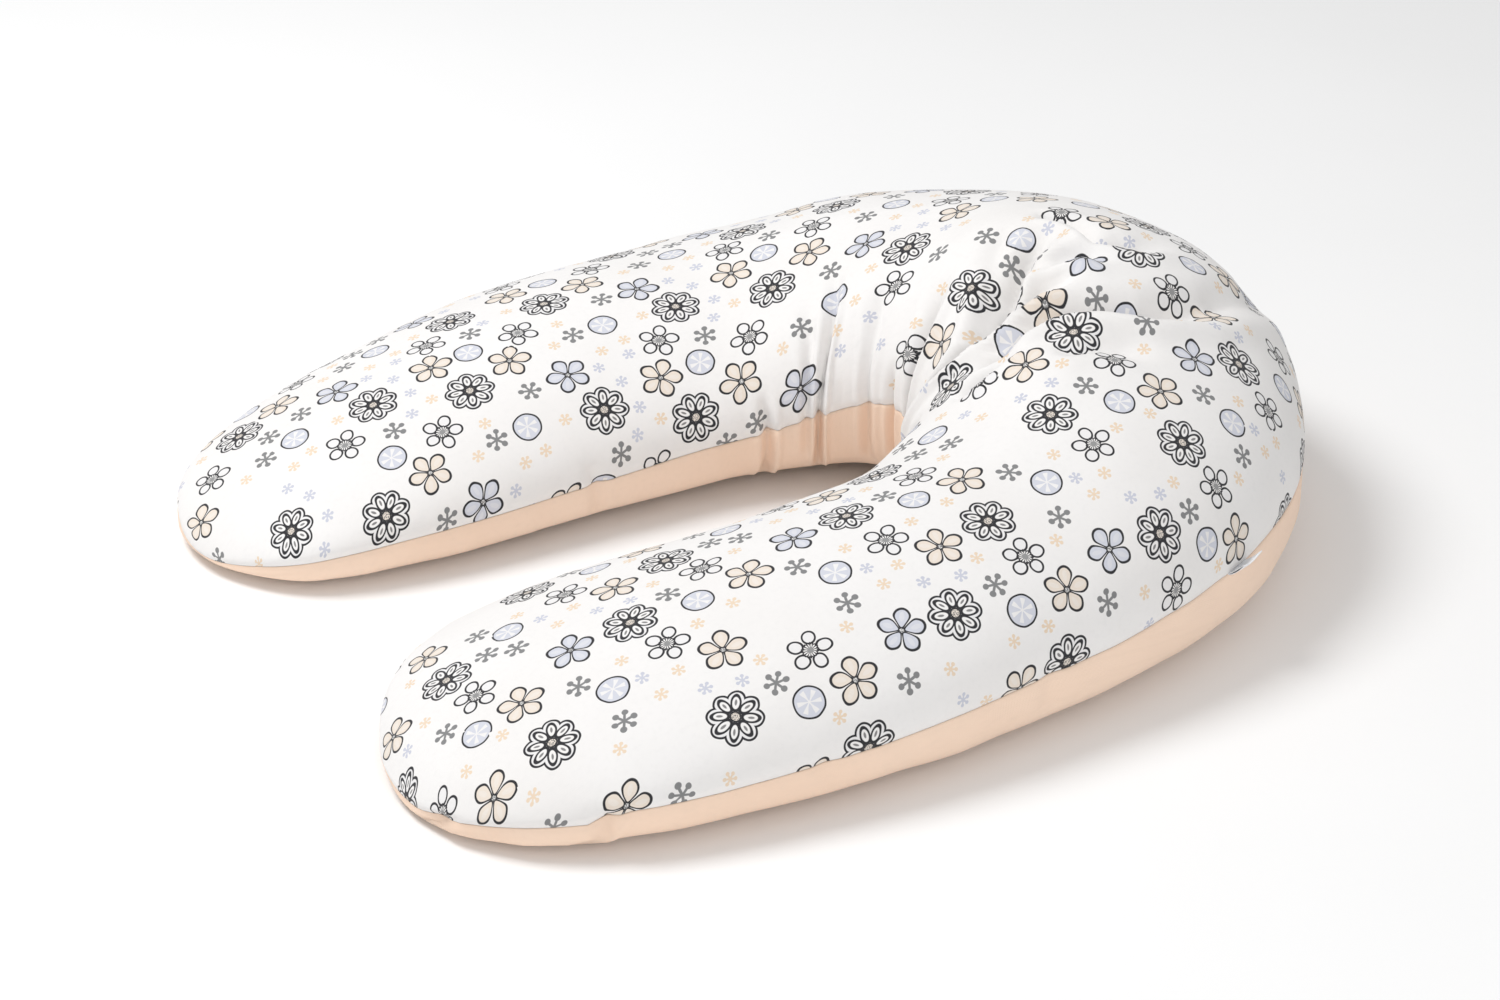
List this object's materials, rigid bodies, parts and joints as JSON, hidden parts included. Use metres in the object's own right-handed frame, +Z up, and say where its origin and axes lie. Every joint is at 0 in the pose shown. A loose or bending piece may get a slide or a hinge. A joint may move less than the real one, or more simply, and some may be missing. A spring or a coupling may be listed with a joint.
{
  "type": "nursing pillow",
  "caption": "Crescent nursing pillow with a printed upper and plain lower cover panel, zipped at the back over a bead-filled inner bag.",
  "frame": {"origin": "middle of the cover's footprint, on the floor", "axes": "+X from the open tips towards the outside of the bend, +Y towards the far arm, +Z up"},
  "size_m": [0.6932, 0.6184, 0.1841],
  "materials": {
    "printed_cotton": "matt woven cotton, warm white ground with a small floral print",
    "peach_cotton": "matt woven cotton, plain peach",
    "liner_cotton": "matt unbleached cotton",
    "foam_beads": "loose expanded foam beads",
    "thread": "spun sewing thread",
    "ribbon": "plain white satin ribbon",
    "zip_tape": "woven polyester tape",
    "zip_coil": "moulded nylon coil",
    "zinc": "cast and plated, satin"
  },
  "bodies": {
    "pillow": {"cover_top_panel": "printed_cotton", "cover_bottom_panel": "peach_cotton", "cover_seam_thread": "thread", "liner_top_panel": "liner_cotton", "liner_bottom_panel": "liner_cotton", "bead_filling": "foam_beads", "side_tag": "ribbon", "zip_tape_upper": "zip_tape", "zip_tape_lower": "zip_tape", "zip_coil_upper": "zip_coil", "zip_coil_lower": "zip_coil", "zip_top_stop_upper": "zinc", "zip_top_stop_lower": "zinc", "zip_bottom_stop": "zinc"},
    "slider": {"zip_slider": "zinc"},
    "pull_tab": {"zip_pull_tab": "zinc"}
  },
  "joints": [
    {"name": "zip_travel", "type": "hinge", "parent": "pillow", "child": "slider", "pos_m": [0.03787, -0.01163, 0.0694], "axis": [0, 0, 1], "range_deg": [0, 58]},
    {"name": "pull_tab_swing", "type": "hinge", "parent": "slider", "child": "pull_tab", "pos_m": [0.34511, -0.04191, 0.0694], "axis": [0, 0, -1], "range_deg": [0, 170]}
  ]
}
